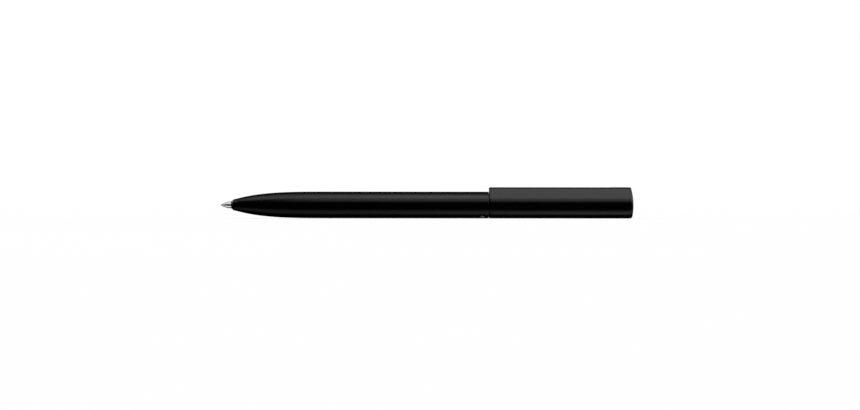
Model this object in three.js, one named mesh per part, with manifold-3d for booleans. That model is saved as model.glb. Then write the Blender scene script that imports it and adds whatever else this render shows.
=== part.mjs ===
// A slim twist-action pen, lying along X with the writing end toward -X and the clip facet toward -Y.
// Millimetres. A "station" is a distance along the pen from the foremost point of the writing ball.
// Round pieces are built about the pen's axis and lifted at the end so that the barrel rests on Z = 0.
// An "elevation" is an angle about the axis, in degrees: 0 faces -Y, 90 faces up, -90 faces down.

import * as THREE from 'three';
import { mergeVertices } from 'three/addons/utils/BufferGeometryUtils.js';
import Module from 'manifold-3d';

const wasm = await Module();
wasm.setup();

// ---- driving dimensions ----

const LENGTH = 139;
const BODY_R = 4.48;
const GAP = 0.03;               // between pieces that are fixed to each other
const BODY_SIDES = 24;          // sides of the outer round pieces, one of them facing straight down
const FLAT_FROM = -225;         // elevations between which the upper section has the same sides
const FLAT_TO = 0;
const MEDIUM = 32;              // sides of the round pieces inside
const SMALL = 24;               // sides of round pieces under 4 mm across
const STEP = 6;                 // degrees between the corners of a bent piece
const COARSE_STEP = 12;         // the same for a small ring

const SEAM_FRONT = 90.2;        // rear face of the barrel
const SEAM_REAR = 90.28;        // front face of the upper section
const SOCKET_FRONT = 77.5;      // the brass socket inside the barrel's rear end
const SOCKET_REAR = 89.85;
const CLIP_END = 131;           // where the free blade meets the fixed part of the clip
const CAP_START = 137.5;

const PLATE = 0.8;              // thickness of the clip plate and the upper shell
const FACET_ELEVATION = 36;
const FACET_LENGTH = 3.74;
const BEND_R = 1.6;             // bend of the plate from its facet over the top
const BLADE_EDGE = -5;          // elevation of the clip plate's lower edge
const SHELL_EDGE = -8.2;        // elevation of the shell's edge across the slit from it
const SHELL_TOP = 90;           // elevation of the shell's other edge, under the facet

const NOSE_FACE = 3.42;
const NOSE_LENGTH = 37;         // from the nose face to the full body radius
const NOSE_DROP = 2.94;         // how far the nose curve falls below the body radius
const NOSE_CURVE = 4;           // power of the nose curve
const NOSE_EDGE = 1.6;          // rounding of the nose's front

const BALL_R = 0.37;
const NEEDLE_R = 1.145;
const REFILL_R = 2.93;
const REFILL_FRONT = 21;        // shoulder of the ink tube
const REFILL_REAR = 98;

const HOUSING_R = 3.27;
const HOUSING_BORE = 2.98;
const HOUSING_FRONT = 76;
const HOUSING_REAR = 119.5;
const SLEEVE_R = 3.57;
const SLEEVE_BORE = 3.32;

const LEAD = 10;                // axial travel of the cam's ramp in one turn
const RAMP_FRONT = 109.6;       // station of the ramp's foremost point
const RAMP_START = 60;          // elevation of that point
const RAMP_SPAN = 276;
const RIB_FRONT = 108.3;
const CAM_REAR = 119;
const CAM_R = 2.9;
const FINGER_SPAN = 90;
const FINGER_MARGIN = 3;        // degrees between the finger and the cam's stop at rest
const FOLLOWER_FRONT = 98.1;
const FOLLOWER_BASE = 5;
const KEY_ELEVATIONS = [0, 180];

// ---- shared helpers ----

const radians = THREE.MathUtils.degToRad;
const degrees = THREE.MathUtils.radToDeg;

function direction(elevation) {
  const angle = radians(elevation);
  return new THREE.Vector2(-Math.cos(angle), Math.sin(angle));
}

function arc(centre, radius, from, to) {
  const steps = Math.max(2, Math.ceil(Math.abs(to - from) / STEP));
  const points = [];
  for (let i = 0; i <= steps; i += 1) {
    const elevation = from + ((to - from) * i) / steps;
    points.push(centre.clone().addScaledVector(direction(elevation), radius));
  }
  return points;
}

function solid(geometry) {
  geometry.deleteAttribute('normal');
  geometry.deleteAttribute('uv');
  const welded = mergeVertices(geometry, 1e-5);
  const triangles = [];
  for (let i = 0; i < welded.index.count; i += 3) {
    const corners = [0, 1, 2].map((k) => welded.index.getX(i + k));
    if (new Set(corners).size === 3) {
      triangles.push(...corners);
    }
  }
  return new wasm.Manifold(new wasm.Mesh({
    numProp: 3,
    vertProperties: new Float32Array(welded.attributes.position.array),
    triVerts: new Uint32Array(triangles),
  }));
}

function turned(profile, sides) {
  const points = profile.map(([radius, station]) => new THREE.Vector2(radius, station));
  return solid(new THREE.LatheGeometry(points, sides).rotateZ(-Math.PI / 2));
}

// A turned piece whose sides, not its corners, lie at the stated radii.
function turnedWithFlats(profile) {
  const half = Math.PI / BODY_SIDES;
  const points = profile.map(([radius, station]) => new THREE.Vector2(radius / Math.cos(half), station));
  return solid(new THREE.LatheGeometry(points, BODY_SIDES, half).rotateZ(-Math.PI / 2));
}

function rod(radius, front, rear, sides = SMALL) {
  return turned([[0, front], [radius, front], [radius, rear], [0, rear]], sides);
}

function tube(inner, outer, front, rear, sides = MEDIUM) {
  return turned([[inner, front], [outer, front], [outer, rear], [inner, rear], [inner, front]], sides);
}

// A piece of a tube between two elevations. Its ends may be slanted: each is a station,
// or a function that gives one for an elevation.
function sector(inner, outer, from, to, front, rear, step = STEP) {
  const frontAt = typeof front === 'function' ? front : () => front;
  const rearAt = typeof rear === 'function' ? rear : () => rear;
  const steps = Math.ceil((to - from) / step);
  const box = new THREE.BoxGeometry(1, 1, 1, 1, steps, 1);
  const corner = box.attributes.position;
  for (let i = 0; i < corner.count; i += 1) {
    const elevation = THREE.MathUtils.lerp(from, to, corner.getY(i) + 0.5);
    const radius = THREE.MathUtils.lerp(inner, outer, corner.getZ(i) + 0.5);
    const station = corner.getX(i) < 0 ? frontAt(elevation) : rearAt(elevation);
    const place = direction(elevation).multiplyScalar(radius);
    corner.setXYZ(i, station, place.x, place.y);
  }
  return solid(box);
}

// A section drawn in the Y-Z plane, run along the pen.
const ALONG_PEN = new THREE.Matrix4().makeBasis(
  new THREE.Vector3(0, 1, 0),
  new THREE.Vector3(0, 0, 1),
  new THREE.Vector3(1, 0, 0),
);

function run(section, front, rear, bevel = 0) {
  const geometry = new THREE.ExtrudeGeometry(new THREE.Shape(section), {
    depth: rear - front - 2 * bevel,
    bevelEnabled: bevel > 0,
    bevelSize: bevel,
    bevelThickness: bevel,
    bevelOffset: -bevel,
    bevelSegments: 3,
  });
  geometry.translate(0, 0, front + bevel);
  return solid(geometry.applyMatrix4(ALONG_PEN));
}

const black = { color: 0x0b0b0c, roughness: 0.38, metalness: 0.6 };
const blackPlastic = { color: 0x101010, roughness: 0.6, metalness: 0 };
const whitePlastic = { color: 0xdedcd2, roughness: 0.45, metalness: 0 };
const brass = { color: 0xb58b45, roughness: 0.3, metalness: 1 };
const steel = { color: 0xa8abad, roughness: 0.3, metalness: 1 };
const nickelSilver = { color: 0xc9c6bd, roughness: 0.22, metalness: 1 };
const carbide = { color: 0x8f9194, roughness: 0.12, metalness: 1 };
const rubber = { color: 0x161616, roughness: 0.85, metalness: 0 };

function node(name, shape, finish) {
  const mesh = shape.getMesh();
  const geometry = new THREE.BufferGeometry();
  geometry.setAttribute('position', new THREE.BufferAttribute(mesh.vertProperties, 3));
  geometry.setIndex(new THREE.BufferAttribute(mesh.triVerts, 1));
  geometry.translate(-LENGTH / 2, 0, BODY_R);
  geometry.computeVertexNormals();
  const piece = new THREE.Mesh(geometry, new THREE.MeshStandardMaterial(finish));
  piece.name = name;
  return piece;
}

function group(name, pieces) {
  const holder = new THREE.Group();
  holder.name = name;
  holder.add(...pieces);
  return holder;
}

// ---- section of the upper part: a round with one squared corner, above and in front ----

const AXIS = new THREE.Vector2(0, 0);
const FACET_NORMAL = direction(FACET_ELEVATION);
const FACET_UP = direction(FACET_ELEVATION + 90);

// The point at a distance out from the axis toward the facet and a distance up along the facet.
function facetPoint(out, up) {
  return FACET_NORMAL.clone().multiplyScalar(out).addScaledVector(FACET_UP, up);
}

// The squared corner is a wide bend from the facet to the top, then a tighter one down the back.
const TOP = facetPoint(BODY_R - PLATE, FACET_LENGTH).y + PLATE;
const BEND_UP = (TOP - BEND_R - facetPoint(BODY_R - BEND_R, 0).y) / FACET_UP.y;
const BEND = facetPoint(BODY_R - BEND_R, BEND_UP);
const CORNER = new THREE.Vector2(BEND.x, TOP - PLATE);
const CORNER_ELEVATION = degrees(Math.atan2(CORNER.y, -CORNER.x));
const BACK_ELEVATION = CORNER_ELEVATION + degrees(Math.acos((BODY_R - PLATE) / CORNER.length()));
const LIP_ELEVATION = FACET_ELEVATION
  + degrees(Math.acos((BODY_R - PLATE - CORNER.dot(FACET_NORMAL)) / PLATE));
const LIP_UP = CORNER.clone().addScaledVector(direction(LIP_ELEVATION), PLATE).dot(FACET_UP);

// The round outline as sides that touch the body radius, from one elevation down to another.
function flats(from, to) {
  const side = 360 / BODY_SIDES;
  const elevations = [from];
  for (let corner = (Math.ceil(from / side - 0.5) - 0.5) * side; corner > to; corner -= side) {
    elevations.push(corner);
  }
  elevations.push(to);
  return elevations.map((elevation) => {
    const offSide = radians(elevation - side * Math.round(elevation / side));
    return direction(elevation).multiplyScalar(BODY_R / Math.cos(offSide));
  });
}

function wholeSection() {
  return [
    ...arc(AXIS, BODY_R, FACET_ELEVATION, FLAT_TO),
    ...flats(FLAT_TO, FLAT_FROM).slice(1),
    ...arc(AXIS, BODY_R, FLAT_FROM, BACK_ELEVATION - 360).slice(1),
    ...arc(CORNER, PLATE, BACK_ELEVATION, 90),
    ...arc(BEND, BEND_R, 90, FACET_ELEVATION).slice(1),
  ];
}

function plateSection() {
  return [
    ...arc(AXIS, BODY_R, BLADE_EDGE, FACET_ELEVATION),
    ...arc(BEND, BEND_R, FACET_ELEVATION, 90),
    ...arc(CORNER, PLATE, 90, LIP_ELEVATION).slice(1),
    ...arc(AXIS, BODY_R - PLATE, FACET_ELEVATION, BLADE_EDGE),
  ];
}

function blockSection() {
  const inner = BODY_R - PLATE - GAP;
  const lean = radians(BACK_ELEVATION - FACET_ELEVATION);
  const top = facetPoint(inner, (BODY_R - inner * Math.cos(lean)) / Math.sin(lean));
  return [
    top,
    ...arc(AXIS, inner, FACET_ELEVATION, SHELL_EDGE),
    ...flats(SHELL_EDGE, FLAT_FROM),
    ...arc(AXIS, BODY_R, FLAT_FROM, BACK_ELEVATION - 360).slice(1),
  ];
}

function skinSection() {
  return [
    ...arc(AXIS, BODY_R - PLATE - GAP, SHELL_TOP - 360, SHELL_EDGE),
    ...flats(SHELL_EDGE, FLAT_FROM),
    ...arc(AXIS, BODY_R, FLAT_FROM, BACK_ELEVATION - 360).slice(1),
    ...arc(AXIS, BODY_R, BACK_ELEVATION - 360, SHELL_TOP - 360).slice(1),
  ];
}

// ---- upper section ----

const RAIL = { width: 1.2, depth: 0.4, front: CLIP_END + 0.8, rear: CAP_START - 0.8, up: 1.9 };
const BLOCK_BORE = 2.9;
const SPIGOT_R = 2.85;

function facetBar(margin, outFrom, outTo) {
  const low = RAIL.up - RAIL.width / 2 - margin;
  const high = RAIL.up + RAIL.width / 2 + margin;
  const section = [[outFrom, low], [outTo, low], [outTo, high], [outFrom, high]];
  return run(section.map(([out, up]) => facetPoint(out, up)), RAIL.front - margin, RAIL.rear + margin);
}

function upperShell() {
  const skin = run(skinSection(), SEAM_REAR, CLIP_END);
  const block = run(blockSection(), CLIP_END, CAP_START);
  const bore = rod(BLOCK_BORE, CLIP_END - 1, CAP_START + 1, MEDIUM);
  const inner = BODY_R - PLATE;
  const groove = facetBar(0.05, inner - RAIL.depth - 0.05, BODY_R);
  return skin.add(block).subtract(bore).subtract(groove);
}

function clipBlade() {
  const rounding = 0.5;
  const rear = CLIP_END - GAP;
  const plate = run(plateSection(), SEAM_REAR, rear);
  const corner = new THREE.Shape();
  corner.moveTo(SEAM_REAR - 1, LIP_UP + 1);
  corner.lineTo(SEAM_REAR - 1, LIP_UP - rounding);
  corner.lineTo(SEAM_REAR, LIP_UP - rounding);
  corner.absarc(SEAM_REAR + rounding, LIP_UP - rounding, rounding, Math.PI, Math.PI / 2, true);
  corner.lineTo(SEAM_REAR + rounding, LIP_UP + 1);
  const cutter = new THREE.ExtrudeGeometry(corner, { depth: 4, bevelEnabled: false, curveSegments: 5 });
  cutter.translate(0, 0, BODY_R - 2);
  const facetFrame = new THREE.Matrix4().makeBasis(
    new THREE.Vector3(1, 0, 0),
    new THREE.Vector3(0, FACET_UP.x, FACET_UP.y),
    new THREE.Vector3(0, FACET_NORMAL.x, FACET_NORMAL.y),
  );
  return plate.subtract(solid(cutter.applyMatrix4(facetFrame)));
}

function clipRoot() {
  const plate = run(plateSection(), CLIP_END + GAP, CAP_START - GAP);
  const inner = BODY_R - PLATE;
  return plate.add(facetBar(0, inner - RAIL.depth, inner + PLATE / 2));
}

function innerSleeve() {
  return tube(SLEEVE_BORE, SLEEVE_R, SEAM_REAR, CLIP_END - 0.1);
}

function seamWasher() {
  return tube(3.36, 3.9, SOCKET_REAR + 0.05, SEAM_REAR - GAP);
}

const PLUG_REAR = CAP_START - 2;
const STUD_R = 1.5;
const HEX_R = 1.75;

function endPlug() {
  const front = CAM_REAR + 1.6;
  const body = turned([
    [0, front],
    [HOUSING_R, front],
    [HOUSING_R, CLIP_END - 0.1],
    [SPIGOT_R, CLIP_END - 0.1],
    [SPIGOT_R, PLUG_REAR],
    [0, PLUG_REAR],
  ], MEDIUM);
  const socket = rod(HEX_R + 0.08, front - 1, front + 4.8, 6);
  const thread = rod(STUD_R + 0.08, CLIP_END, PLUG_REAR + 1);
  return body.subtract(socket).subtract(thread);
}

function endCap() {
  const domeR = 20.7;
  const reach = 7;
  const half = Math.asin(reach / domeR);
  const rim = 0.6;
  const start = CAP_START + GAP;
  const profile = [[0, start], [reach, start]];
  for (let i = 0; i <= 5; i += 1) {
    const angle = half * (1 - i / 5);
    profile.push([domeR * Math.sin(angle), LENGTH - domeR * (1 - Math.cos(angle))]);
  }
  const dome = turned(profile, MEDIUM);
  const block = run(wholeSection(), start - 3, LENGTH - 0.35, rim);
  const spigot = rod(SPIGOT_R, PLUG_REAR + 0.1, start + 0.2, MEDIUM);
  const stud = rod(STUD_R, CLIP_END + 1, PLUG_REAR + 0.2);
  const crown = rod(BODY_R - rim, start, LENGTH + 1, MEDIUM).intersect(dome);
  return block.intersect(dome).add(crown).add(spigot).add(stud);
}

// ---- twist mechanism ----

// Stations grow toward the rear as the elevation falls, so turning the barrel lets the finger climb back.
function rampAt(elevation) {
  return RAMP_FRONT + (LEAD * (RAMP_START - elevation)) / 360;
}

function cam() {
  const core = 0.5;
  const pilot = 1;
  const grooveR = 2.12;
  const neckR = 2.1;
  const disc = turned([
    [0, 117.3],
    [CAM_R, 117.3],
    [CAM_R, 117.75],
    [grooveR, 117.75],
    [grooveR, 118.65],
    [CAM_R, 118.65],
    [CAM_R, CAM_REAR],
    [neckR, CAM_REAR],
    [neckR, CAM_REAR + 1.3],
    [0, CAM_REAR + 1.3],
  ], MEDIUM);
  const ramp = sector(core, CAM_R, RAMP_START - RAMP_SPAN - 2, RAMP_START + 2, rampAt, 117.5);
  const rib = sector(core, CAM_R, RAMP_START, RAMP_START + 360 - RAMP_SPAN, RIB_FRONT, 117.5);
  const pin = rod(pilot, 103.4, 118);
  const hex = rod(HEX_R, CAM_REAR + 1.2, CAM_REAR + 6, 6);
  return disc.add(ramp).add(rib).add(pin).add(hex);
}

function camRetainingRing() {
  return sector(2.16, 2.8, -70, 250, CAM_REAR + 0.82, CAM_REAR + 1.18, COARSE_STEP);
}

function dragRing() {
  return solid(new THREE.TorusGeometry(2.55, 0.38, 6, SMALL).rotateY(Math.PI / 2).translate(118.2, 0, 0));
}

function mechanismHousing() {
  const shell = turned([
    [HOUSING_BORE, HOUSING_FRONT],
    [HOUSING_R, HOUSING_FRONT],
    [HOUSING_R, HOUSING_REAR],
    [2.2, HOUSING_REAR],
    [2.2, HOUSING_REAR - 0.4],
    [HOUSING_BORE, HOUSING_REAR - 0.4],
    [HOUSING_BORE, HOUSING_FRONT],
  ], MEDIUM);
  return shell.subtract(keyBar(1.2, 4, FOLLOWER_FRONT + 0.7, FOLLOWER_FRONT + 10.6));
}

function thrustWasher() {
  return tube(2.18, 3.2, HOUSING_REAR + 0.05, HOUSING_REAR + 0.25);
}

// A bar through the axis that makes both keys, or both slots for them.
function keyBar(width, reach, front, rear) {
  const bars = KEY_ELEVATIONS.map((elevation) => {
    const out = direction(elevation);
    const up = direction(elevation + 90);
    const section = [[1.5, -width / 2], [reach, -width / 2], [reach, width / 2], [1.5, width / 2]];
    const points = section.map(([a, b]) => out.clone().multiplyScalar(a).addScaledVector(up, b));
    return run(points, front, rear);
  });
  return bars[0].add(bars[1]);
}

function camFollower() {
  const rear = FOLLOWER_FRONT + FOLLOWER_BASE;
  const base = tube(1.2, CAM_R, FOLLOWER_FRONT, rear);
  const keys = keyBar(1.05, HOUSING_R - 0.07, FOLLOWER_FRONT + 1, rear - 0.3);
  const high = RAMP_START - FINGER_MARGIN;
  const finger = sector(1.2, CAM_R, high - FINGER_SPAN, high, rear - 0.5, (e) => rampAt(e) - 0.12);
  return base.add(keys).add(finger);
}

// ---- lower barrel ----

const SPRING_SEAT = 12;

function noseRadius(station) {
  const left = Math.max(0, 1 - (station - NOSE_FACE) / NOSE_LENGTH);
  return BODY_R - NOSE_DROP * left ** NOSE_CURVE;
}

function lowerBarrel() {
  const bore = HOUSING_R + 0.08;
  const socketR = 4;
  const opening = 1.22;
  const rim = noseRadius(NOSE_FACE + NOSE_EDGE) - NOSE_EDGE;
  const lip = opening + 0.05;
  const lipAngle = Math.asin((lip - rim) / NOSE_EDGE);
  const profile = [[opening, NOSE_FACE], [lip, NOSE_FACE]];
  for (let i = 0; i <= 3; i += 1) {
    const angle = lipAngle + (Math.PI / 2 - lipAngle) * (i / 3);
    profile.push([rim + NOSE_EDGE * Math.sin(angle), NOSE_FACE + NOSE_EDGE * (1 - Math.cos(angle))]);
  }
  const steps = 11;
  for (let i = 1; i <= steps; i += 1) {
    const station = NOSE_FACE + NOSE_EDGE + (NOSE_LENGTH - NOSE_EDGE) * (i / steps);
    profile.push([noseRadius(station), station]);
  }
  profile.push(
    [BODY_R, SEAM_FRONT - 0.1],
    [BODY_R - 0.08, SEAM_FRONT],
    [socketR, SEAM_FRONT],
    [socketR, SOCKET_FRONT],
    [bore, SOCKET_FRONT],
    [bore, REFILL_FRONT - 0.1],
    [2.75, REFILL_FRONT - 0.1],
    [2.75, SPRING_SEAT],
    [1.72, SPRING_SEAT],
    [1.72, NOSE_FACE + 2],
    [opening, NOSE_FACE + 2],
    [opening, NOSE_FACE],
  );
  return turnedWithFlats(profile);
}

function barrelSocket() {
  return turned([
    [3.38, SOCKET_FRONT + 0.1],
    [3.95, SOCKET_FRONT + 0.1],
    [3.95, SOCKET_REAR],
    [3.38, SOCKET_REAR],
    [3.38, 86],
    [3.7, 86],
    [3.7, 84],
    [3.38, 84],
    [3.38, SOCKET_FRONT + 0.1],
  ], MEDIUM);
}

function gripRing() {
  return sector(3.3, 3.62, -70, 250, 84.2, 85.8, COARSE_STEP);
}

function noseBush() {
  return tube(1.22, 1.67, NOSE_FACE + 2.05, SPRING_SEAT - 0.1, SMALL);
}

class Helix extends THREE.Curve {
  constructor(radius, front, rear, turns) {
    super();
    Object.assign(this, { radius, front, rear, turns });
  }

  getPoint(t) {
    const place = direction(360 * this.turns * t).multiplyScalar(this.radius);
    return new THREE.Vector3(THREE.MathUtils.lerp(this.front, this.rear, t), place.x, place.y);
  }
}

function refillSpring() {
  const wireR = 0.19;
  const turns = 8;
  const path = new Helix(2.3, SPRING_SEAT + 0.3, REFILL_FRONT - 0.3, turns);
  const wire = new THREE.Shape().absarc(0, 0, wireR, 0, 2 * Math.PI, false);
  return solid(new THREE.ExtrudeGeometry(wire, { steps: turns * 10, extrudePath: path, curveSegments: 3 }));
}

// ---- refill ----

const TIP_REAR = 12.3;
const TAIL_REAR = 15;

function refillTip() {
  const mouth = 0.22;
  const clearance = 0.025;
  const seatR = BALL_R + clearance;
  const profile = [];
  const opening = Math.acos((BALL_R - mouth) / seatR);
  for (let i = 0; i <= 8; i += 1) {
    const angle = Math.PI - ((Math.PI - opening) * i) / 8;
    profile.push([seatR * Math.sin(angle), BALL_R - seatR * Math.cos(angle)]);
  }
  profile[0][0] = 0;
  profile.push(
    [0.42, mouth],
    [NEEDLE_R, 2.45],
    [NEEDLE_R, TIP_REAR],
    [0.85, TIP_REAR],
    [0.85, TAIL_REAR],
    [0, TAIL_REAR],
  );
  return turned(profile, SMALL);
}

function writingBall() {
  return solid(new THREE.SphereGeometry(BALL_R, 16, 10).translate(BALL_R, 0, 0));
}

function refillNose() {
  return turned([
    [0.9, TIP_REAR + GAP],
    [1.75, TIP_REAR + GAP],
    [1.75, 25],
    [0.5, 25],
    [0.5, TAIL_REAR + 0.3],
    [0.9, TAIL_REAR + 0.3],
    [0.9, TIP_REAR + GAP],
  ], SMALL);
}

function refillTube() {
  return turned([
    [1.8, REFILL_FRONT],
    [REFILL_R - 0.3, REFILL_FRONT],
    [REFILL_R, REFILL_FRONT + 0.3],
    [REFILL_R, REFILL_REAR - 2],
    [2.6, REFILL_REAR - 2],
    [2.6, 24.5],
    [1.8, 24.5],
    [1.8, REFILL_FRONT],
  ], MEDIUM);
}

function refillEndPlug() {
  return turned([
    [0, REFILL_REAR - 6],
    [2.55, REFILL_REAR - 6],
    [2.55, REFILL_REAR - 1.95],
    [2.85, REFILL_REAR - 1.95],
    [2.85, REFILL_REAR],
    [0, REFILL_REAR],
  ], MEDIUM);
}

// ---- assembly ----

const upper = group('upper', [
  node('upper_shell', upperShell(), black),
  node('clip_root', clipRoot(), black),
  node('end_cap', endCap(), black),
  node('inner_sleeve', innerSleeve(), blackPlastic),
  node('seam_washer', seamWasher(), blackPlastic),
  node('end_plug', endPlug(), brass),
  node('cam', cam(), whitePlastic),
  node('cam_retaining_ring', camRetainingRing(), steel),
  node('drag_o_ring', dragRing(), rubber),
]);

const clip = group('clip', [node('clip_blade', clipBlade(), black)]);

const mechanism = group('mechanism', [
  node('mechanism_housing', mechanismHousing(), brass),
  node('thrust_washer', thrustWasher(), whitePlastic),
]);

const follower = group('follower', [node('cam_follower', camFollower(), whitePlastic)]);

const barrel = group('barrel', [
  node('lower_barrel', lowerBarrel(), black),
  node('barrel_socket', barrelSocket(), brass),
  node('grip_ring', gripRing(), steel),
  node('nose_bush', noseBush(), whitePlastic),
  node('refill_spring', refillSpring(), steel),
]);

const refill = group('refill', [
  node('writing_ball', writingBall(), carbide),
  node('refill_tip', refillTip(), nickelSilver),
  node('refill_nose', refillNose(), brass),
  node('refill_tube', refillTube(), steel),
  node('refill_end_plug', refillEndPlug(), blackPlastic),
]);

const pen = group('twist_pen', [upper, clip, mechanism, follower, barrel, refill]);

export default pen;
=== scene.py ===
import math

import bmesh
import bpy
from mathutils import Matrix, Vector
from mathutils.geometry import tessellate_polygon


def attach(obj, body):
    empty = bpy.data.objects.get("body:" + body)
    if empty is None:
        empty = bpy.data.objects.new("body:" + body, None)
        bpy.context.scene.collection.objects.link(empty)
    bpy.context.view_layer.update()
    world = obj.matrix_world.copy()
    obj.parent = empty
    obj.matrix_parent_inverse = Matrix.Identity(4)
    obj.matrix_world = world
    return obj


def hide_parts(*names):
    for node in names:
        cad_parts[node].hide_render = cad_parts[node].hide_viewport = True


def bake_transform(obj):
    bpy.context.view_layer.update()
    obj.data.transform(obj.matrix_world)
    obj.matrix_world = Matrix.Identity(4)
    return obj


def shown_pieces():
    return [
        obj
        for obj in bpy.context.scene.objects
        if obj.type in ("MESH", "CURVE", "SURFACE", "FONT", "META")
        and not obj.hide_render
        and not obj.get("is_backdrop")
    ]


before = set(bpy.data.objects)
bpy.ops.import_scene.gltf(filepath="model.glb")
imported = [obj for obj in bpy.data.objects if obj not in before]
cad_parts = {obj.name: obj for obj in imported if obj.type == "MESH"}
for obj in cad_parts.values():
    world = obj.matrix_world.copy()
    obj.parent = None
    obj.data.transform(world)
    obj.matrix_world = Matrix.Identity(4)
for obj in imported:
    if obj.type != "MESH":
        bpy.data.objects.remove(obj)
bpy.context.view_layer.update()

# The looks of a slim twist-action pen. It lies along X with its writing end toward -X.
# Drawing dimensions are in millimetres. A "station" is a distance along the pen from the foremost
# point of the writing ball; an "elevation" is an angle about the axis, 0 toward -Y and 90 upward.

MM = 0.001
LENGTH = 139.0
BODY_R = 4.48
SIDES = 128
FINE_STEP = 3.0                 # degrees between the corners of a drawn arc
ROLL = -0.05                    # degrees that the camera is tilted about its line of sight

SEAM_FRONT = 90.2
SEAM_REAR = 90.28
SOCKET_FRONT = 77.5
SOCKET_REAR = 89.85
CLIP_END = 131.0
CAP_START = 137.5

PLATE = 0.8
FACET_ELEVATION = 36.0
FACET_LENGTH = 3.74
BEND_R = 1.6
BLADE_EDGE = -5.0
SHELL_EDGE = -8.2
SHELL_TOP = 90.0
BLOCK_BORE = 2.9

NOSE_FACE = 3.42
NOSE_LENGTH = 37.0
NOSE_DROP = 2.94
NOSE_CURVE = 4                  # power of the nose curve
NOSE_EDGE = 1.6                 # rounding of the nose's front
NOSE_OPENING = 1.22

BALL_R = 0.37
NEEDLE_R = 1.145
REFILL_R = 2.93
REFILL_FRONT = 21.0
REFILL_REAR = 98.0
SPRING_SEAT = 12.0
TIP_REAR = 12.3
TAIL_REAR = 15.0
HOUSING_R = 3.27
HOUSING_BORE = 2.98
HOUSING_FRONT = 76.0
HOUSING_REAR = 119.5

SOCKET_BORE = 3.38
SOCKET_R = 3.95
SOCKET_SEAT = 4.0               # radius of the barrel's bore round the socket
GROOVE_FRONT = 84.0             # the groove in the socket that holds the grip ring
GROOVE_REAR = 86.0
SPRING_BORE = 2.75
BUSH_BORE = 1.72
SLEEVE_BORE = 3.32
SLEEVE_R = 3.57
WASHER_BORE = 3.36
WASHER_R = 3.9

LAMP_DISTANCE = 0.6             # metres from the pen's axis to a strip light
FLOOR_SIZE = 4.0                # metres
FLOOR_DROP = 0.0001             # metres that the floor lies below the pen


# ---- drawing helpers ----

def direction(elevation):
    angle = math.radians(elevation)
    return Vector((-math.cos(angle), math.sin(angle)))


FACET_NORMAL = direction(FACET_ELEVATION)
FACET_UP = direction(FACET_ELEVATION + 90)


def facet_point(out, up):
    return FACET_NORMAL * out + FACET_UP * up


# The squared corner: a wide bend from the facet to the top, then a tighter one down the back.
TOP = facet_point(BODY_R - PLATE, FACET_LENGTH).y + PLATE
BEND_UP = (TOP - BEND_R - facet_point(BODY_R - BEND_R, 0).y) / FACET_UP.y
BEND = facet_point(BODY_R - BEND_R, BEND_UP)
CORNER = Vector((BEND.x, TOP - PLATE))
CORNER_ELEVATION = math.degrees(math.atan2(CORNER.y, -CORNER.x))
BACK_ELEVATION = CORNER_ELEVATION + math.degrees(math.acos((BODY_R - PLATE) / CORNER.length))
LIP_ELEVATION = FACET_ELEVATION + math.degrees(
    math.acos((BODY_R - PLATE - CORNER.dot(FACET_NORMAL)) / PLATE))


def arc(centre, radius, start, end, step=FINE_STEP):
    count = max(2, math.ceil(abs(end - start) / step))
    angles = [start + (end - start) * i / count for i in range(count + 1)]
    return [centre + direction(angle) * radius for angle in angles]


def line(start, end, count):
    return [start.lerp(end, i / count) for i in range(1, count)]


def place(station, point):
    """A point of a section, at a station, in metres in the CAD model's frame."""
    return Vector((station - LENGTH / 2, point.x, point.y + BODY_R)) * MM


def add_loop(mesh, station, section):
    return [mesh.verts.new(place(station, point)) for point in section]


def add_walls(mesh, front, rear):
    for i in range(len(front)):
        j = (i + 1) % len(front)
        mesh.faces.new((front[i], front[j], rear[j], rear[i]))


def extend(mesh, front, station, section):
    """Walls from a loop to a section further along. Returns the new loop."""
    rear = add_loop(mesh, station, section)
    add_walls(mesh, front, rear)
    return rear


def add_cap(mesh, outline, holes=()):
    loops = [outline, *holes]
    corners = [corner for loop in loops for corner in loop]
    flat = [[Vector((v.co.y, v.co.z, 0)) for v in loop] for loop in loops]
    for triangle in tessellate_polygon(flat):
        mesh.faces.new([corners[k] for k in triangle])


def finish_piece(name, mesh, material, body, nodes, bevel=0.0, sharp=32):
    """Turns a drawn mesh into a piece that rides on a body and stands for CAD nodes."""
    bmesh.ops.remove_doubles(mesh, verts=mesh.verts, dist=1e-7)
    bmesh.ops.recalc_face_normals(mesh, faces=mesh.faces)
    for face in mesh.faces:
        face.smooth = True
    data = bpy.data.meshes.new(name)
    mesh.to_mesh(data)
    mesh.free()
    data.set_sharp_from_angle(angle=math.radians(sharp))
    data.materials.append(material)
    piece = bpy.data.objects.new(name, data)
    bpy.context.scene.collection.objects.link(piece)
    if bevel:
        edges = piece.modifiers.new("Edges", "BEVEL")
        edges.width = bevel * MM
        edges.segments = 3
        edges.limit_method = "ANGLE"
        edges.angle_limit = math.radians(sharp)
        edges.harden_normals = True
    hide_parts(*nodes)
    if body:
        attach(piece, body)
    return piece


def turned(profile, sides=SIDES):
    """A turned piece. The profile is a list of (radius, station), closed unless it ends on the axis."""
    mesh = bmesh.new()
    closed = profile[0][0] > 0 or profile[-1][0] > 0
    rings = []
    for radius, station in profile:
        if radius == 0:
            rings.append([mesh.verts.new(place(station, Vector((0, 0))))] * sides)
        else:
            section = [direction(360 * i / sides) * radius for i in range(sides)]
            rings.append(add_loop(mesh, station, section))
    pairs = list(zip(rings, rings[1:]))
    if closed:
        pairs.append((rings[-1], rings[0]))
    for front, rear in pairs:
        for i in range(sides):
            j = (i + 1) % sides
            corners = list(dict.fromkeys((front[i], front[j], rear[j], rear[i])))
            if len(corners) > 2:
                mesh.faces.new(corners)
    return mesh


# ---- materials ----

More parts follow.
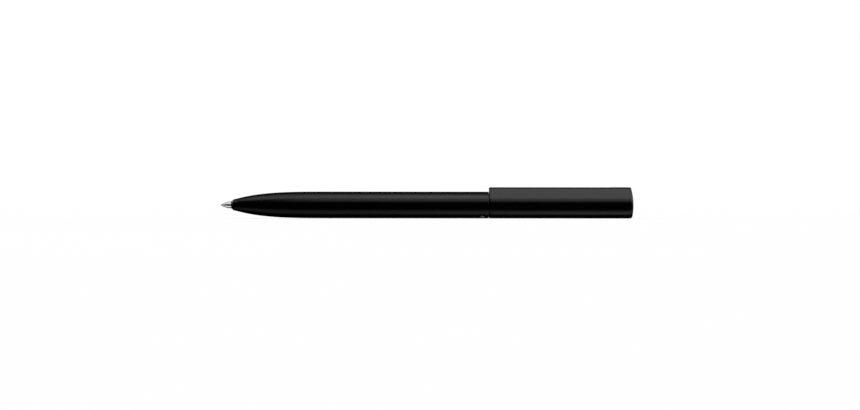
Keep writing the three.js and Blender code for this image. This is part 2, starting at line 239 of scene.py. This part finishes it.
class Nodes:
    """A node material under construction: a Principled shader and what feeds it."""

    def __init__(self, name):
        self.material = bpy.data.materials.new(name)
        self.material.use_nodes = True
        self.tree = self.material.node_tree
        self.shader = next(n for n in self.tree.nodes if n.type == "BSDF_PRINCIPLED")
        self.coordinates = self.add("ShaderNodeTexCoord").outputs["Object"]

    def add(self, kind, **settings):
        node = self.tree.nodes.new(kind)
        for key, value in settings.items():
            setattr(node, key, value)
        return node

    def feed(self, socket, source):
        if isinstance(source, bpy.types.NodeSocket):
            self.tree.links.new(source, socket)
        else:
            socket.default_value = source

    def math(self, operation, *values):
        node = self.add("ShaderNodeMath", operation=operation)
        for socket, value in zip(node.inputs, values):
            self.feed(socket, value)
        return node.outputs[0]

    def stretched(self, scale):
        node = self.add("ShaderNodeMapping")
        self.feed(node.inputs["Vector"], self.coordinates)
        node.inputs["Scale"].default_value = scale
        return node.outputs["Vector"]

    def noise(self, vector, scale, detail=3.0):
        node = self.add("ShaderNodeTexNoise")
        self.feed(node.inputs["Vector"], vector)
        node.inputs["Scale"].default_value = scale
        node.inputs["Detail"].default_value = detail
        return node.outputs["Fac"]

    def map_range(self, value, limits, **settings):
        """limits are the low and high of the input, then of the output."""
        node = self.add("ShaderNodeMapRange", **settings)
        self.feed(node.inputs["Value"], value)
        for socket, number in zip(("From Min", "From Max", "To Min", "To Max"), limits):
            node.inputs[socket].default_value = number
        return node.outputs["Result"]

    def spread(self, value, low, high):
        """value, usually 0.3 to 0.7, spread over low to high."""
        return self.map_range(value, (0.3, 0.7, low, high))

    def mix(self, share, first, second):
        node = self.add("ShaderNodeMix", data_type="RGBA")
        self.feed(node.inputs["Factor"], share)
        self.feed(node.inputs["A"], first)
        self.feed(node.inputs["B"], second)
        return node.outputs["Result"]

    def colour(self, source):
        self.feed(self.shader.inputs["Base Color"], source)

    def roughness(self, source):
        self.feed(self.shader.inputs["Roughness"], source)

    def metallic(self, value):
        self.shader.inputs["Metallic"].default_value = value

    def bump(self, height, depth, strength=1.0):
        node = self.add("ShaderNodeBump")
        node.inputs["Strength"].default_value = strength
        node.inputs["Distance"].default_value = depth
        self.feed(node.inputs["Height"], height)
        self.feed(self.shader.inputs["Normal"], node.outputs["Normal"])


def rgb(red, green, blue):
    return (red, green, blue, 1.0)


def lacquer(name, mark=False):
    """Satin black lacquer over blasted metal. mark adds a small plain pale oval under the barrel."""
    nodes = Nodes(name)
    clouds = nodes.noise(nodes.coordinates, 900)
    grain = nodes.noise(nodes.coordinates, 9000, 2.0)
    black = nodes.mix(clouds, rgb(0.0001, 0.0001, 0.0001), rgb(0.0003, 0.0003, 0.0003))
    if mark:
        black = nodes.mix(oval(nodes), black, rgb(0.14, 0.14, 0.15))
    nodes.colour(black)
    nodes.roughness(nodes.spread(clouds, 0.23, 0.27))
    nodes.bump(grain, 0.000004, 0.35)
    return nodes.material


def oval(nodes, station=88.1, elevation=-66.0, half_length=0.72, half_width=0.95):
    """1 inside a small oval on the barrel, 0 outside, with a soft edge."""
    parts = nodes.add("ShaderNodeSeparateXYZ")
    nodes.feed(parts.inputs["Vector"], nodes.coordinates)
    along = nodes.math("SUBTRACT", parts.outputs["X"], (station - LENGTH / 2) * MM)
    along = nodes.math("DIVIDE", along, half_length * MM)
    height = nodes.math("SUBTRACT", parts.outputs["Z"], BODY_R * MM)
    front = nodes.math("MULTIPLY", parts.outputs["Y"], -1.0)
    around = nodes.math("SUBTRACT", nodes.math("ARCTAN2", height, front), math.radians(elevation))
    around = nodes.math("MULTIPLY", around, BODY_R / half_width)
    far = nodes.math("ADD", nodes.math("POWER", along, 2.0), nodes.math("POWER", around, 2.0))
    return nodes.map_range(far, (1.15, 0.85, 0.0, 1.0), interpolation_type="SMOOTHSTEP")


def turned_metal(name, dark, light, rough, depth=0.000002):
    """Bare metal with the fine rings that a lathe leaves round the axis."""
    nodes = Nodes(name)
    rings = nodes.noise(nodes.stretched((14000, 60, 60)), 1.0, 2.0)
    tarnish = nodes.noise(nodes.coordinates, 420)
    nodes.colour(nodes.mix(tarnish, dark, light))
    nodes.metallic(1.0)
    nodes.roughness(nodes.spread(rings, rough - 0.05, rough + 0.05))
    nodes.bump(rings, depth, 0.3)
    return nodes.material


def moulded(name, dark, light, rough):
    """Moulded plastic or rubber with a faint grain."""
    nodes = Nodes(name)
    grain = nodes.noise(nodes.coordinates, 5200, 2.0)
    clouds = nodes.noise(nodes.coordinates, 300)
    nodes.colour(nodes.mix(clouds, dark, light))
    nodes.roughness(nodes.spread(grain, rough - 0.06, rough + 0.06))
    nodes.bump(grain, 0.00001, 0.25)
    return nodes.material


def drawn_wire(name):
    """Spring steel, with the streaks that drawing leaves."""
    nodes = Nodes(name)
    streaks = nodes.noise(nodes.coordinates, 3500)
    nodes.colour(nodes.mix(streaks, rgb(0.38, 0.39, 0.4), rgb(0.52, 0.53, 0.54)))
    nodes.metallic(1.0)
    nodes.roughness(nodes.spread(streaks, 0.22, 0.36))
    return nodes.material


def ball_metal(name):
    """The ground writing ball, very slightly pitted."""
    nodes = Nodes(name)
    pits = nodes.noise(nodes.coordinates, 24000, 2.0)
    nodes.colour(nodes.mix(pits, rgb(0.26, 0.27, 0.28), rgb(0.34, 0.35, 0.36)))
    nodes.metallic(1.0)
    nodes.roughness(nodes.spread(pits, 0.18, 0.3))
    return nodes.material


body_lacquer = lacquer("body_lacquer")
barrel_lacquer = lacquer("barrel_lacquer", mark=True)
black_plastic = moulded("black_plastic", rgb(0.006, 0.006, 0.006), rgb(0.011, 0.011, 0.011), 0.55)
white_plastic = moulded("white_plastic", rgb(0.66, 0.65, 0.6), rgb(0.76, 0.75, 0.7), 0.42)
rubber = moulded("rubber", rgb(0.012, 0.012, 0.012), rgb(0.022, 0.022, 0.022), 0.8)
brass = turned_metal("brass", rgb(0.6, 0.4, 0.15), rgb(0.72, 0.5, 0.2), 0.27)
steel = turned_metal("steel", rgb(0.46, 0.47, 0.48), rgb(0.55, 0.56, 0.57), 0.3)
nickel_silver = turned_metal("nickel_silver", rgb(0.56, 0.55, 0.52), rgb(0.66, 0.65, 0.61), 0.2, 0.000001)
spring_steel = drawn_wire("spring_steel")
ground_ball = ball_metal("ground_ball")


# ---- upper section ----

LIP_UP = (CORNER + direction(LIP_ELEVATION) * PLATE).dot(FACET_UP)
SHELL_BORE = BODY_R - PLATE - 0.03
# The softened front edge of the upper section, as (station past the face, inset).
FRONT_EDGE = ((0.0, 0.13), (0.08, 0.085), (0.18, 0.045), (0.28, 0.01), (0.33, 0.0))


def plate_section(inset=0.0):
    """The clip plate's outline, from its lower edge round the outside and back along the inside."""
    inner = BODY_R - PLATE
    outer = BODY_R - inset
    origin = Vector((0, 0))
    return [
        *arc(origin, outer, BLADE_EDGE, FACET_ELEVATION),
        *line(facet_point(outer, 0), facet_point(outer, BEND_UP), 6),
        *arc(BEND, BEND_R - inset, FACET_ELEVATION, 90),
        *arc(CORNER, PLATE - inset, 90, LIP_ELEVATION)[1:],
        *line(facet_point(inner, LIP_UP - inset), facet_point(inner, 0), 8),
        *arc(origin, inner, FACET_ELEVATION, BLADE_EDGE),
    ]


def clip_plate():
    rounding = 0.5
    mesh = bmesh.new()

    def front_loop(past_face, inset):
        loop = []
        for point, full in zip(plate_section(inset), plate_section()):
            past = max(0.0, full.dot(FACET_UP) - (LIP_UP - rounding))
            cut = rounding - math.sqrt(max(0.0, rounding ** 2 - past ** 2))
            loop.append(mesh.verts.new(place(SEAM_REAR + cut + past_face, point)))
        return loop

    front = front_loop(*FRONT_EDGE[0])
    add_cap(mesh, front)
    for past_face, inset in FRONT_EDGE[1:]:
        rear = front_loop(past_face, inset)
        add_walls(mesh, front, rear)
        front = rear
    stations = [SEAM_REAR + 1.2 + i * (CLIP_END - SEAM_REAR - 1.2) / 28 for i in range(29)]
    stations += [CLIP_END + 2, CLIP_END + 4, CAP_START - 0.03]
    for station in stations:
        front = extend(mesh, front, station, plate_section())
    add_cap(mesh, front)
    plate = finish_piece("clip_plate", mesh, body_lacquer, None, ["clip_blade", "clip_root"],
                         bevel=0.06)
    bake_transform(plate)


def upper_shell():
    """A C-shaped skin under the free part of the clip, and the block that the clip is fixed to."""
    origin = Vector((0, 0))
    lean = math.radians(BACK_ELEVATION - FACET_ELEVATION)
    top = facet_point(SHELL_BORE, (BODY_R - SHELL_BORE * math.cos(lean)) / math.sin(lean))
    mesh = bmesh.new()

    def skin_section(inset=0.0):
        outer = BODY_R - inset
        return [
            *arc(origin, outer, SHELL_EDGE, BACK_ELEVATION - 360),
            *arc(origin, outer, BACK_ELEVATION - 360, SHELL_TOP - 360)[1:],
            *arc(origin, SHELL_BORE, SHELL_TOP - 360, SHELL_EDGE),
        ]

    front = add_loop(mesh, SEAM_REAR, skin_section(FRONT_EDGE[0][1]))
    add_cap(mesh, front)
    for past_face, inset in FRONT_EDGE[1:]:
        front = extend(mesh, front, SEAM_REAR + past_face, skin_section(inset))
    for station in (SEAM_REAR + 1, SEAM_REAR + 20, CLIP_END):
        front = extend(mesh, front, station, skin_section())

    outer_arc = arc(origin, BODY_R, SHELL_EDGE, BACK_ELEVATION - 360)
    block_top = [
        *line(outer_arc[-1], top, 4),
        top,
        *line(top, facet_point(SHELL_BORE, 0), 6),
        *arc(origin, SHELL_BORE, FACET_ELEVATION, SHELL_EDGE)[:-1],
    ]
    shared, skin_rest = front[:len(outer_arc)], front[len(outer_arc):]
    added = add_loop(mesh, CLIP_END, block_top)
    bore_section = arc(origin, BLOCK_BORE, 0, 360, 6)[:-1]
    front_bore = add_loop(mesh, CLIP_END, bore_section)
    add_cap(mesh, [shared[-1], *added, *reversed(skin_rest)], [front_bore])
    front = [*shared, *added, skin_rest[-1]]
    block_section = [*outer_arc, *block_top, direction(SHELL_EDGE) * SHELL_BORE]
    for station in (CAP_START - 0.6, CAP_START):
        front = extend(mesh, front, station, block_section)
    rear_bore = add_loop(mesh, CAP_START, bore_section)
    add_walls(mesh, front_bore, rear_bore)
    add_cap(mesh, front, [rear_bore])
    finish_piece("upper_shell_smooth", mesh, body_lacquer, "upper", ["upper_shell"],
                 bevel=0.05)


def dome_station(radius):
    dome_r = 20.7
    return LENGTH - dome_r + math.sqrt(dome_r ** 2 - radius ** 2)


def end_cap():
    """A domed lid whose rim is rounded, less so at the squared corner."""
    origin = Vector((0, 0))
    round_part = arc(origin, BODY_R, BACK_ELEVATION - 360, FACET_ELEVATION)
    bend_part = arc(BEND, BEND_R, FACET_ELEVATION, 90)
    corner_part = arc(CORNER, PLATE, 90, BACK_ELEVATION, 6)[1:]
    flat_part = line(round_part[-1], bend_part[0], 6)
    slope_part = line(corner_part[-1], round_part[0], 6)
    outline = [*round_part, *flat_part, *bend_part, *corner_part, *slope_part]
    facet_normals = [FACET_NORMAL] * len(flat_part)
    slope_normals = [direction(BACK_ELEVATION)] * len(slope_part)
    normals = [
        *[point.normalized() for point in round_part],
        *facet_normals,
        *[(point - BEND).normalized() for point in bend_part],
        *[(point - CORNER).normalized() for point in corner_part],
        *slope_normals,
    ]

    def rim_radius(point):
        past = min(1.0, max(0.0, (point.length - BODY_R) / (CORNER.length + PLATE - BODY_R)))
        return 0.8 - 0.42 * past

    mesh = bmesh.new()
    front = add_loop(mesh, CAP_START + 0.03, outline)
    add_cap(mesh, front)
    for step in range(7):
        angle = math.radians(90 * step / 6)
        ring = []
        for point, normal in zip(outline, normals):
            rim = rim_radius(point)
            inset = point - normal * rim * (1 - math.cos(angle))
            station = dome_station((point - normal * rim).length) - rim * (1 - math.sin(angle))
            ring.append(mesh.verts.new(place(station, inset)))
        add_walls(mesh, front, ring)
        front = ring
    inset_outline = [point - normal * rim_radius(point) for point, normal in zip(outline, normals)]
    for share in (0.8, 0.6, 0.4, 0.2):
        ring = [mesh.verts.new(place(dome_station((point * share).length), point * share))
                for point in inset_outline]
        add_walls(mesh, front, ring)
        front = ring
    apex = mesh.verts.new(place(LENGTH, origin))
    for i in range(len(front)):
        mesh.faces.new((front[i], front[(i + 1) % len(front)], apex))
    finish_piece("end_cap_smooth", mesh, body_lacquer, "upper", ["end_cap"])


def tube(inner, outer, front, rear):
    return turned([(inner, front), (outer, front), (outer, rear), (inner, rear)])


def upper_fittings():
    sleeve = tube(SLEEVE_BORE, SLEEVE_R, SEAM_REAR, CLIP_END - 0.1)
    finish_piece("inner_sleeve_smooth", sleeve, black_plastic, "upper", ["inner_sleeve"],
                 bevel=0.05)
    washer = tube(WASHER_BORE, WASHER_R, SOCKET_REAR + 0.05, SEAM_REAR - 0.03)
    finish_piece("seam_washer_smooth", washer, black_plastic, "upper", ["seam_washer"],
                 bevel=0.03)


# ---- lower barrel ----

def nose_radius(station):
    left = max(0.0, 1 - (station - NOSE_FACE) / NOSE_LENGTH)
    return BODY_R - NOSE_DROP * left ** NOSE_CURVE


def lower_barrel():
    rim = nose_radius(NOSE_FACE + NOSE_EDGE) - NOSE_EDGE
    lip = NOSE_OPENING + 0.05
    lip_angle = math.asin((lip - rim) / NOSE_EDGE)
    profile = [
        (NOSE_OPENING, NOSE_FACE + 0.03),
        (NOSE_OPENING + 0.015, NOSE_FACE),
        (lip - 0.01, NOSE_FACE),
        (lip, NOSE_FACE + 0.03),
    ]
    for i in range(13):
        angle = lip_angle + (math.pi / 2 - lip_angle) * i / 12
        profile.append((rim + NOSE_EDGE * math.sin(angle), NOSE_FACE + NOSE_EDGE * (1 - math.cos(angle))))
    for i in range(1, 49):
        station = NOSE_FACE + NOSE_EDGE + (NOSE_LENGTH - NOSE_EDGE) * i / 48
        profile.append((nose_radius(station), station))
    profile += [
        (BODY_R, 60.0),
        (BODY_R, SEAM_FRONT - 0.9),
        (BODY_R - 0.01, SEAM_FRONT - 0.2),
        (BODY_R - 0.05, SEAM_FRONT),
        (SOCKET_SEAT, SEAM_FRONT),
        (SOCKET_SEAT, SOCKET_FRONT),
        (HOUSING_R + 0.08, SOCKET_FRONT),
        (HOUSING_R + 0.08, REFILL_FRONT - 0.1),
        (SPRING_BORE, REFILL_FRONT - 0.1),
        (SPRING_BORE, SPRING_SEAT),
        (BUSH_BORE, SPRING_SEAT),
        (BUSH_BORE, NOSE_FACE + 2),
        (NOSE_OPENING, NOSE_FACE + 2),
    ]
    finish_piece("lower_barrel_smooth", turned(profile), barrel_lacquer, "barrel",
                 ["lower_barrel"])


def barrel_fittings():
    socket = turned([
        (SOCKET_BORE, SOCKET_FRONT + 0.1),
        (SOCKET_R, SOCKET_FRONT + 0.1),
        (SOCKET_R, SOCKET_REAR),
        (SOCKET_BORE, SOCKET_REAR),
        (SOCKET_BORE, GROOVE_REAR),
        (3.7, GROOVE_REAR),
        (3.7, GROOVE_FRONT),
        (SOCKET_BORE, GROOVE_FRONT),
    ])
    finish_piece("barrel_socket_smooth", socket, brass, "barrel", ["barrel_socket"],
                 bevel=0.06)
    ring = bmesh.new()
    section = [*arc(Vector((0, 0)), 3.62, -70, 250), *arc(Vector((0, 0)), 3.3, 250, -70)]
    front = add_loop(ring, 84.2, section)
    rear = add_loop(ring, 85.8, section)
    add_cap(ring, front)
    add_walls(ring, front, rear)
    add_cap(ring, rear)
    finish_piece("grip_ring_smooth", ring, spring_steel, "barrel", ["grip_ring"], bevel=0.04)


def refill_spring():
    """A close helical spring. Its ends follow the barrel and the refill."""
    wire_r = 0.19
    coil_r = 2.3
    turns = 8
    per_turn = 36
    around = 12
    front, rear = SPRING_SEAT + 0.3, REFILL_FRONT - 0.3
    mesh = bmesh.new()
    loops = []
    for i in range(turns * per_turn + 1):
        turn = i / (turns * per_turn)
        out = direction(360 * turns * turn)
        station = front + (rear - front) * turn
        loop = []
        for k in range(around):
            angle = 2 * math.pi * k / around
            point = out * (coil_r + wire_r * math.cos(angle))
            loop.append(mesh.verts.new(place(station + wire_r * math.sin(angle), point)))
        loops.append(loop)
    for first, second in zip(loops, loops[1:]):
        add_walls(mesh, first, second)
    mesh.faces.new(loops[0])
    mesh.faces.new(loops[-1])
    spring = finish_piece("refill_spring_smooth", mesh, spring_steel, None, ["refill_spring"])
    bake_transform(spring)


# ---- mechanism ----

def mechanism_housing():
    """A plain tube. The two slots that the follower's keys run in, in the CAD housing, are not drawn."""
    housing = turned([
        (HOUSING_BORE, HOUSING_FRONT + 0.12),
        (HOUSING_BORE + 0.08, HOUSING_FRONT),
        (HOUSING_R - 0.1, HOUSING_FRONT),
        (HOUSING_R, HOUSING_FRONT + 0.15),
        (HOUSING_R, HOUSING_REAR),
        (2.2, HOUSING_REAR),
        (2.2, HOUSING_REAR - 0.4),
        (HOUSING_BORE, HOUSING_REAR - 0.4),
    ])
    finish_piece("mechanism_housing_smooth", housing, brass, "mechanism",
                 ["mechanism_housing"])


# ---- refill ----

def refill_tip():
    mouth = 0.22
    seat_r = BALL_R + 0.025
    opening = math.acos((BALL_R - mouth) / seat_r)
    profile = []
    for i in range(17):
        angle = math.pi - (math.pi - opening) * i / 16
        profile.append((seat_r * math.sin(angle), BALL_R - seat_r * math.cos(angle)))
    profile[0] = (0, profile[0][1])
    profile += [
        (0.405, mouth + 0.004),
        (0.43, mouth + 0.04),
        (NEEDLE_R - 0.02, 2.4),
        (NEEDLE_R, 2.52),
        (NEEDLE_R, TIP_REAR),
        (0.85, TIP_REAR),
        (0.85, TAIL_REAR),
        (0, TAIL_REAR),
    ]
    return finish_piece("refill_tip_smooth", turned(profile), nickel_silver, "refill",
                        ["refill_tip"], sharp=50)


def writing_ball():
    profile = [(BALL_R * math.sin(math.pi * i / 24), BALL_R * (1 - math.cos(math.pi * i / 24)))
               for i in range(25)]
    profile[0] = (0, 0.0)
    profile[-1] = (0, 2 * BALL_R)
    return finish_piece("writing_ball_smooth", turned(profile, 48), ground_ball, "refill",
                        ["writing_ball"])


def refill_body():
    nose = turned([
        (0.9, TIP_REAR + 0.03),
        (1.62, TIP_REAR + 0.03),
        (1.75, TIP_REAR + 0.16),
        (1.75, 25.0),
        (0.5, 25.0),
        (0.5, TAIL_REAR + 0.3),
        (0.9, TAIL_REAR + 0.3),
    ])
    finish_piece("refill_nose_smooth", nose, brass, "refill", ["refill_nose"])
    ink_tube = turned([
        (1.8, REFILL_FRONT),
        (REFILL_R - 0.3, REFILL_FRONT),
        (REFILL_R - 0.09, REFILL_FRONT + 0.09),
        (REFILL_R, REFILL_FRONT + 0.3),
        (REFILL_R, REFILL_REAR - 2.12),
        (REFILL_R - 0.08, REFILL_REAR - 2),
        (2.6, REFILL_REAR - 2),
        (2.6, 24.5),
        (1.8, 24.5),
    ])
    finish_piece("refill_tube_smooth", ink_tube, steel, "refill", ["refill_tube"], sharp=50)
    plug = turned([
        (0, REFILL_REAR - 6),
        (2.55, REFILL_REAR - 6),
        (2.55, REFILL_REAR - 1.95),
        (2.78, REFILL_REAR - 1.95),
        (2.85, REFILL_REAR - 1.85),
        (2.85, REFILL_REAR - 0.3),
        (2.76, REFILL_REAR - 0.09),
        (2.55, REFILL_REAR),
        (0.8, REFILL_REAR),
        (0.7, REFILL_REAR - 0.5),
        (0, REFILL_REAR - 0.5),
    ])
    finish_piece("refill_end_plug_smooth", plug, black_plastic, "refill", ["refill_end_plug"],
                 sharp=50)


def dress_hidden_nodes():
    """The pieces inside the mechanism keep their CAD shapes and get finished materials."""
    finishes = {
        "end_plug": brass,
        "cam": white_plastic,
        "cam_follower": white_plastic,
        "thrust_washer": white_plastic,
        "nose_bush": white_plastic,
        "cam_retaining_ring": spring_steel,
        "drag_o_ring": rubber,
    }
    for name, material in finishes.items():
        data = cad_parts[name].data
        data.materials.clear()
        data.materials.append(material)


# ---- stage, light and camera ----

def stage_floor():
    mesh = bmesh.new()
    bmesh.ops.create_grid(mesh, x_segments=1, y_segments=1, size=FLOOR_SIZE)
    data = bpy.data.meshes.new("floor")
    mesh.to_mesh(data)
    mesh.free()
    nodes = Nodes("pale_floor")
    mottle = nodes.noise(nodes.coordinates, 6)
    nodes.colour(nodes.mix(mottle, rgb(0.985, 0.985, 0.985), rgb(1.0, 1.0, 1.0)))
    nodes.shader.inputs["Roughness"].default_value = 1.0
    nodes.shader.inputs["Specular IOR Level"].default_value = 0.0
    data.materials.append(nodes.material)
    floor = bpy.data.objects.new("floor", data)
    floor.location.z = -FLOOR_DROP
    bpy.context.scene.collection.objects.link(floor)
    floor.visible_glossy = False
    floor.visible_shadow = False
    floor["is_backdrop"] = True


def softbox(name, location, aim, width, depth, radiance, receivers):
    """A soft light that the camera can't see. It lights only the pieces that it is given."""
    light = bpy.data.lights.new(name, "AREA")
    light.shape = "RECTANGLE"
    light.size, light.size_y = width, depth
    light.energy = radiance * width * depth * math.pi
    lamp = bpy.data.objects.new(name, light)
    lamp.location = location
    lamp.rotation_euler = (Vector(location) - Vector(aim)).to_track_quat("Z", "Y").to_euler()
    lamp.visible_camera = False
    bpy.context.scene.collection.objects.link(lamp)
    lamp.light_linking.receiver_collection = receivers


def strip(name, elevation, spread, radiance, left, right, receivers):
    """A softbox along the pen from left to right, in metres.

    It is spread degrees wide as the pen sees it, at an elevation round the pen's axis.
    """
    out = direction(elevation) * LAMP_DISTANCE
    middle = (left + right) / 2
    depth = 2 * LAMP_DISTANCE * math.tan(math.radians(spread / 2))
    softbox(name, (middle, out.x, out.y), (middle, 0, 0), right - left, depth, radiance, receivers)


def group(name, pieces):
    collection = bpy.data.collections.new(name)
    for piece in pieces:
        collection.objects.link(piece)
    return collection


def studio_light(tip_pieces):
    """Long soft lights: a broad one over the front, a weak one under it, and fill at the back and ends."""
    pen = group("lit_pen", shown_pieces())
    tip = group("lit_tip", tip_pieces)
    strip("over_front_low", 45, 26, 0.65, -0.08, 1.3, pen)
    strip("over_front_middle", 75, 34, 1.5, -0.04, 1.3, pen)
    strip("over_front_left", 75, 34, 0.95, -0.3, -0.04, pen)
    strip("over_front_high", 104, 18, 0.4, -0.4, 1.3, pen)
    strip("over_side", 120, 50, 1.2, -1.2, -0.35, pen)
    strip("under_front", -65, 38, 0.2, -0.4, 1.3, pen)
    strip("under_front_rear", -76, 28, 0.42, 0.03, 1.3, pen)
    strip("behind_left", 150, 50, 1.0, -1.5, -0.4, pen)
    strip("behind_right", 150, 50, 1.0, 0.4, 1.5, pen)
    for name, side in (("end_left", -1), ("end_right", 1)):
        softbox(name, (side * 1.2, 0.45, 0.35), (0, 0, 0), 1.3, 1.3, 0.3, pen)
    strip("tip_over", 62, 50, 1.3, -1.0, -0.15, tip)
    strip("tip_front", 14, 26, 0.35, -0.4, 0.1, tip)
    strip("tip_under", -66, 40, 1.4, -1.0, 0.1, tip)
    strip("tip_behind", 150, 50, 0.9, -1.0, 0.1, tip)


def room():
    world = bpy.data.worlds.new("white_room")
    world.use_nodes = True
    background = world.node_tree.nodes["Background"]
    background.inputs["Color"].default_value = rgb(1, 1, 1)
    background.inputs["Strength"].default_value = 1.0
    world.cycles_visibility.glossy = False
    bpy.context.scene.world = world
    bpy.context.scene.view_settings.view_transform = "Standard"


def camera():
    """A long lens square to the pen, with the photograph's very slight tilt."""
    picture_width = 289.8 * MM
    lens, sensor = 200.0, 36.0
    data = bpy.data.cameras.new("camera")
    data.lens = lens
    data.sensor_width = sensor
    distance = picture_width * lens / sensor
    data.clip_start, data.clip_end = 0.1, 20.0
    view = bpy.data.objects.new("camera", data)
    view.location = (0.94 * MM, -distance, BODY_R * MM)
    view.rotation_euler = (math.radians(90), math.radians(ROLL), 0)
    bpy.context.scene.collection.objects.link(view)
    bpy.context.scene.camera = view


clip_plate()
upper_shell()
end_cap()
upper_fittings()
lower_barrel()
barrel_fittings()
refill_spring()
mechanism_housing()
tip = refill_tip()
ball = writing_ball()
refill_body()
dress_hidden_nodes()
stage_floor()
room()
studio_light([tip, ball])
camera()
